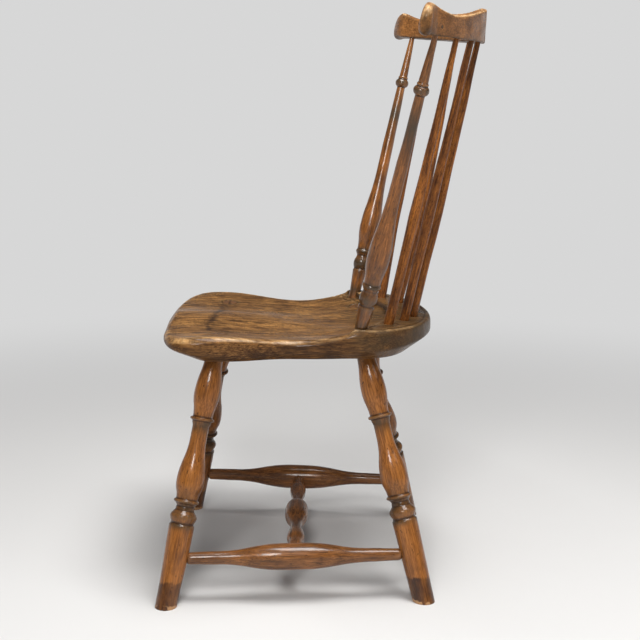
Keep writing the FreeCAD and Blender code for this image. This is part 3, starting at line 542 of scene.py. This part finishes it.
def make_turned(node, material, seed, facets=0, find_stations=None, trim=NO_TRIM, patina_and_shade=(),
                bow=0.0, shown_below=1.0):
    """Turned or shaved piece: slightly out of round, its edges softened, bare only below a height."""
    piece = even_mesh(node, TURNED_GRID)
    mesh = piece.data
    points = coordinates(mesh)
    neighbours = links(mesh)
    middle, along = long_axis(points)
    local = grain_space(points, middle, along, 0.0)
    radius = np.maximum(np.hypot(local[:, 0], local[:, 1]), 1e-6)
    outward = ((points - middle) - np.outer((points - middle) @ along, along)) / radius[:, None]
    swell = OUT_OF_ROUND * ripple(points, 0.09, seed)
    dark = np.zeros(len(points))
    if find_stations:
        stations = find_stations(local, middle, along)
        swell += between_stations(stations, trim)
        for place, reach in patina_and_shade:
            dark = np.maximum(dark, np.exp(-((stations - place) / reach) ** 2))
    if facets:
        turn = np.arctan2(local[:, 1], local[:, 0]) + 1.5 * local[:, 2]
        uneven = 0.35 * np.sin(2.0 * turn + seed) + 0.25 * ripple(local, 0.15, seed + 1)
        flat = np.abs(np.sin(0.5 * facets * (turn + uneven)))
        swell += 0.00045 * (0.6 - flat)
    inside_joint = smoothstep(radius, 0.0035, 0.0050)
    points = points + outward * (swell * inside_joint)[:, None]
    share = (local[:, 2] - local[:, 2].min()) / np.ptp(local[:, 2])
    points[:, 1] += bow * smoothstep(np.sin(math.pi * share), 0.1, 1.0)
    points = relaxed(points, neighbours, TURNED_PASSES)
    points = np.clip(points, *np.array([list(corner) for corner in cad_bounds]))
    move_to(mesh, points)
    paint_relief(mesh, points, neighbours, 10, 1.0 * (points[:, 2] < shown_below))
    store(mesh, "patina_and_shade", dark)
    shift = np.random.default_rng(seed).uniform(-5.0, 5.0, 3)
    store(mesh, "grain", grain_space(points, middle, along, shift))
    finish_piece(piece, node, material)


def rim_gap(points, facing):
    """Distance of each vertex from the deck's outer edge, where the top turns down."""
    on_rim = (np.abs(facing[:, 2] - 0.75) < 0.12) & (points[:, 2] > 0.424) & (points[:, 1] > 0.03)
    on_rim &= np.hypot(points[:, 0], points[:, 1] - 0.02) > 0.155
    tree = KDTree(int(on_rim.sum()))
    for order, point in enumerate(points[on_rim]):
        tree.insert(point, order)
    tree.balance()
    gaps = np.full(len(points), 1.0)
    near = (facing[:, 2] > 0.85) & (points[:, 2] > 0.42) & (points[:, 1] > 0.02)
    for index in np.nonzero(near)[0]:
        gaps[index] = tree.find(points[index])[2]
    return gaps


def evened(values):
    """Each value averaged with its two neighbours."""
    return np.convolve(np.pad(values, 1, "edge"), (0.25, 0.5, 0.25), "valid")


def rolled_flanks(points, share):
    """The top corner of both flanks brought down to a slope, and the height of the rim beside it."""
    aside, rearward, up = np.abs(points[:, 0]), points[:, 1], points[:, 2]
    rows = np.linspace(-0.24, 0.06, 31)
    reach, crown = [], []
    for row in rows:
        here = (np.abs(rearward - row) < 0.006) & (up > 0.398)
        reach.append(aside[here].max())
        crown.append(up[here & (aside > reach[-1] - 0.030)].max())
    edge = np.interp(rearward, rows, evened(reach))
    top = np.interp(rearward, rows, evened(crown))
    over = np.maximum(up - (top - RIM_ROLL + ROLL_SLOPE * (edge - aside)), 0.0) * share
    rolled = points.copy()
    rolled[:, 0] -= ROLL_MOVE_ACROSS * over * np.sign(points[:, 0])
    rolled[:, 2] -= ROLL_MOVE_DOWN * over
    return rolled, top


def make_seat():
    """Saddled plank, its rim rubbed round, crisp where the other pieces enter it."""
    piece = even_mesh("seat", SEAT_GRID)
    mesh = piece.data
    points = coordinates(mesh)
    low, high = points.min(axis=0), points.max(axis=0)
    neighbours = links(mesh)
    joints = gap_to(points, LEGS + POSTS + SPINDLES, 0.012)
    free = smoothstep(joints, 0.0015, 0.009)
    points = relaxed(points, neighbours, 2)
    points = rubbed(points, neighbours, 8, free[:, None])
    across, rearward, up = points.T
    flank = smoothstep(FLANK_REAR_END - rearward, 0.0, 0.05) * smoothstep(up, *FLANK_HEIGHTS)
    flank *= smoothstep(np.abs(across), *FLANK_ACROSS) * smoothstep(rearward, *FLANK_FRONT)
    points = rubbed(points, neighbours, 20, (free * flank)[:, None])
    points, crown = rolled_flanks(points, free * flank)
    points = rubbed(points, neighbours, 14, (free * flank)[:, None])
    points = points + normals(mesh) * (0.0004 * ripple(points, 0.11, 5) * free * (1.0 - flank))[:, None]
    move_to(mesh, points)
    groove = np.exp(-((rim_gap(points, normals(mesh)) - GROOVE_INSET) / GROOVE_WIDTH) ** 2) * free
    points[:, 2] -= GROOVE_DEPTH * groove
    points = np.clip(points, low, high)
    move_to(mesh, points)
    facing = normals(mesh)
    # Painted highlight: the rolled corner of the flank, sloped toward the overhead lamp, is painted pale
    # like bare wood.
    slope = np.degrees(np.arctan2(facing[:, 2], np.hypot(facing[:, 0], facing[:, 1])))
    rim = np.exp(-((slope - 52.0) / 10.0) ** 2) * smoothstep(points[:, 2] - crown, -0.0085, -0.0050)
    # Bare edges only on faces turned up: the pale there is partly real wear, partly a painted highlight.
    exposed = free * smoothstep(np.abs(points[:, 0]), 0.09, 0.15)
    exposed = exposed * smoothstep(facing[:, 2], 0.45, 0.70)
    paint_relief(mesh, points, neighbours, 12, exposed, rim * flank * free)
    across, rearward, up = points.T
    # The seat darkens towards its rear and around the joints.
    darker_to_rear = 0.85 * smoothstep(rearward + 0.05 * ripple(points, 0.10, 3), 0.02, 0.12)
    store(mesh, "patina_and_shade", np.maximum(darker_to_rear, 1.0 - smoothstep(joints, 0.001, 0.010)))
    top = smoothstep(normals(mesh)[:, 2], 0.2, 0.7) * smoothstep(up, 0.400, 0.412)
    sat_on = np.exp(-((np.abs(across) - 0.07) / 0.12) ** 2 - ((rearward + 0.05) / 0.13) ** 2)
    front = smoothstep(-rearward, 0.10, 0.20)
    store(mesh, "polish", top * np.maximum(sat_on, 0.8 * front))
    marks = np.exp(-((rearward + 0.176 + 0.006 * np.sin(18.0 * across)) / 0.008) ** 2)
    marks *= smoothstep(ripple(points, 0.014, 9), -1.2, 0.5)
    marks *= smoothstep(0.16 - np.abs(across), 0.0, 0.06)
    store(mesh, "stain", top * marks)
    store(mesh, "grain", np.stack([across, up, rearward], axis=1) + np.array([3.0, 1.0, 2.0]))
    finish_piece(piece, "seat", seat_wood)


def make_crest():
    """Serpentine rail, rubbed round all along its top and ears."""
    piece = even_mesh("crest_rail", CREST_GRID)
    mesh = piece.data
    points = coordinates(mesh)
    low, high = points.min(axis=0), points.max(axis=0)
    neighbours = links(mesh)
    joints = gap_to(points, POSTS + SPINDLES + ("crest_peg_left", "crest_peg_right"), 0.008)
    free = smoothstep(joints, 0.0010, 0.005)
    aside = np.abs(points[:, 0])
    rake = math.radians(CREST_RAKE)
    level = (points[:, 2] - CREST_HEIGHT) * math.cos(rake) + (points[:, 1] - CREST_REAR) * math.sin(rake)
    rise = np.zeros(len(points))
    for place, reach, depth in CREST_DIPS:
        rise -= depth * np.exp(-((aside - place) / reach) ** 2)
    rise *= smoothstep(level, 0.0, 0.020)
    lobe = EAR_TIP_SWELL * np.exp(-((aside - 0.350) / 0.016) ** 2 - ((level - 0.018) / 0.015) ** 2)
    points[:, 2] += (rise + 0.8 * lobe) * math.cos(rake)
    points[:, 1] += (rise + 0.8 * lobe) * math.sin(rake)
    points[:, 0] += 0.6 * lobe * np.sign(points[:, 0])
    points = relaxed(points, neighbours, 2)
    points = rubbed(points, neighbours, 8, free[:, None])
    ear = smoothstep(aside, *EAR_ACROSS) * free
    points = points + normals(mesh) * (EAR_SWELL * ear)[:, None]
    points = rubbed(points, neighbours, 90, ear[:, None])
    points = points + normals(mesh) * (0.0004 * ripple(points, 0.06, 6) * free)[:, None]
    points = np.clip(points, low, high)
    move_to(mesh, points)
    facing = normals(mesh)
    # Bare edges are kept to faces turned up: the pale along the top edge is partly wear, partly a painted
    # highlight.
    paint_relief(mesh, points, neighbours, 14, 0.05 + 0.95 * smoothstep(facing[:, 2], 0.0, 0.6))
    across, rearward, up = points.T
    # The ends are darkened like end grain; faces turned down get painted shade.
    ends = smoothstep(facing[:, 0] * np.sign(across), 0.45, 0.85) * (aside > 0.30)
    underside = smoothstep(-facing[:, 2], 0.1, 0.7)
    store(mesh, "patina_and_shade", np.maximum(0.55 * ends, 0.8 * underside))
    store(mesh, "grain", np.stack([up, rearward, across], axis=1) + np.array([1.0, 4.0, 2.0]))
    finish_piece(piece, "crest_rail", crest_wood)


make_seat()
make_crest()
for order, node in enumerate(LEGS):
    make_turned(node, turned_wood, 20 + order,
                find_stations=leg_stations, trim=LEG_TRIM, patina_and_shade=LEG_PATINA, shown_below=0.395)
for order, node in enumerate(POSTS):
    make_turned(node, post_wood, 30 + order,
                find_stations=post_stations, trim=POST_TRIM, patina_and_shade=POST_PATINA)
for order, node in enumerate(STRETCHERS):
    make_turned(node, stretcher_wood, 40 + order,
                find_stations=stretcher_stations,
                trim=STRETCHER_TRIM if node in SIDE_STRETCHERS else NO_TRIM)
from_right_to_left = sorted(SPINDLES, key=lambda name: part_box(name)[0][0])
for order, node in enumerate(from_right_to_left):
    make_turned(node, spindle_wood, 50 + order, facets=9, bow=SPINDLE_BOWS[order])

for node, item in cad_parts.items():
    if node.startswith("leg_wedge"):
        item.data.materials.clear()
        item.data.materials.append(wedge_wood)
    elif node.startswith("crest_peg"):
        item.data.materials.clear()
        item.data.materials.append(peg_wood)


# Floor that fades into the background

def make_floor(reach=40.0, sides=96):
    ring = [(reach * math.cos(2 * math.pi * i / sides), reach * math.sin(2 * math.pi * i / sides), 0.0)
            for i in range(sides)]
    mesh = bpy.data.meshes.new("floor")
    mesh.from_pydata(ring, [], [tuple(range(sides))])
    floor = bpy.data.objects.new("floor", mesh)
    bpy.context.scene.collection.objects.link(floor)
    material = bpy.data.materials.new("pale_floor")
    material.use_nodes = True
    tree = material.node_tree
    shader = tree.nodes["Principled BSDF"]
    shader.inputs["Base Color"].default_value = colour(*PALE_FLOOR)
    shader.inputs["Roughness"].default_value = 0.85
    glow = add(tree, "ShaderNodeEmission")
    glow.inputs["Color"].default_value = colour(*BACKGROUND)
    away = add(tree, "ShaderNodeVectorMath", operation="LENGTH")
    feed(tree, away.inputs[0], add(tree, "ShaderNodeTexCoord").outputs["Object"])
    mix = add(tree, "ShaderNodeMixShader")
    feed(tree, mix.inputs[0], between(tree, away.outputs["Value"], 0.5, 2.4))
    feed(tree, mix.inputs[1], shader.outputs[0])
    feed(tree, mix.inputs[2], glow.outputs[0])
    feed(tree, tree.nodes["Material Output"].inputs["Surface"], mix.outputs[0])
    mesh.materials.append(material)


make_floor()


# Lights and camera

def softbox(name, place, target, width, depth, power):
    light = bpy.data.lights.new(name, "AREA")
    light.shape = "RECTANGLE"
    light.size = width
    light.size_y = depth
    light.energy = power
    lamp = bpy.data.objects.new(name, light)
    lamp.location = place
    lamp.rotation_euler = (Vector(target) - Vector(place)).to_track_quat("-Z", "Y").to_euler()
    bpy.context.scene.collection.objects.link(lamp)


CHAIR_MIDDLE = (0.0, 0.0, 0.5)
softbox("overhead", (0.40, 0.25, 2.7), CHAIR_MIDDLE, 0.90, 1.6, 74.0)
softbox("beside_camera", (2.5, -0.30, 2.1), CHAIR_MIDDLE, 0.7, 0.9, 47.0)
softbox("behind", (1.1, 2.0, 2.3), CHAIR_MIDDLE, 1.0, 1.2, 9.0)

# Pale walls that give way to a dim ceiling
world = bpy.data.worlds.new("studio")
world.use_nodes = True
bpy.context.scene.world = world
sky = world.node_tree
direction = add(sky, "ShaderNodeSeparateXYZ")
feed(sky, direction.inputs[0], add(sky, "ShaderNodeTexCoord").outputs["Generated"])
steepness = between(sky, direction.outputs["Z"], 0.045, 0.13)
around = blend(sky, steepness, colour(*BACKGROUND), colour(*CEILING))
feed(sky, sky.nodes["Background"].inputs["Color"], around)

view = Vector((-math.cos(CAMERA_YAW) * math.cos(CAMERA_PITCH),
               -math.sin(CAMERA_YAW) * math.cos(CAMERA_PITCH),
               -math.sin(CAMERA_PITCH)))
level_right = view.cross(Vector((0, 0, 1))).normalized()
level_up = level_right.cross(view)
right = math.cos(CAMERA_ROLL) * level_right + math.sin(CAMERA_ROLL) * level_up
upward = -math.sin(CAMERA_ROLL) * level_right + math.cos(CAMERA_ROLL) * level_up
camera_data = bpy.data.cameras.new("photograph")
camera_data.lens = CAMERA_LENS
camera_data.sensor_width = CAMERA_SENSOR
camera = bpy.data.objects.new("photograph", camera_data)
facing = Matrix((right, upward, -view)).transposed().to_4x4()
camera.matrix_world = Matrix.Translation(CAMERA_PLACE) @ facing
bpy.context.scene.collection.objects.link(camera)
bpy.context.scene.camera = camera
bpy.context.scene.view_settings.view_transform = "Standard"
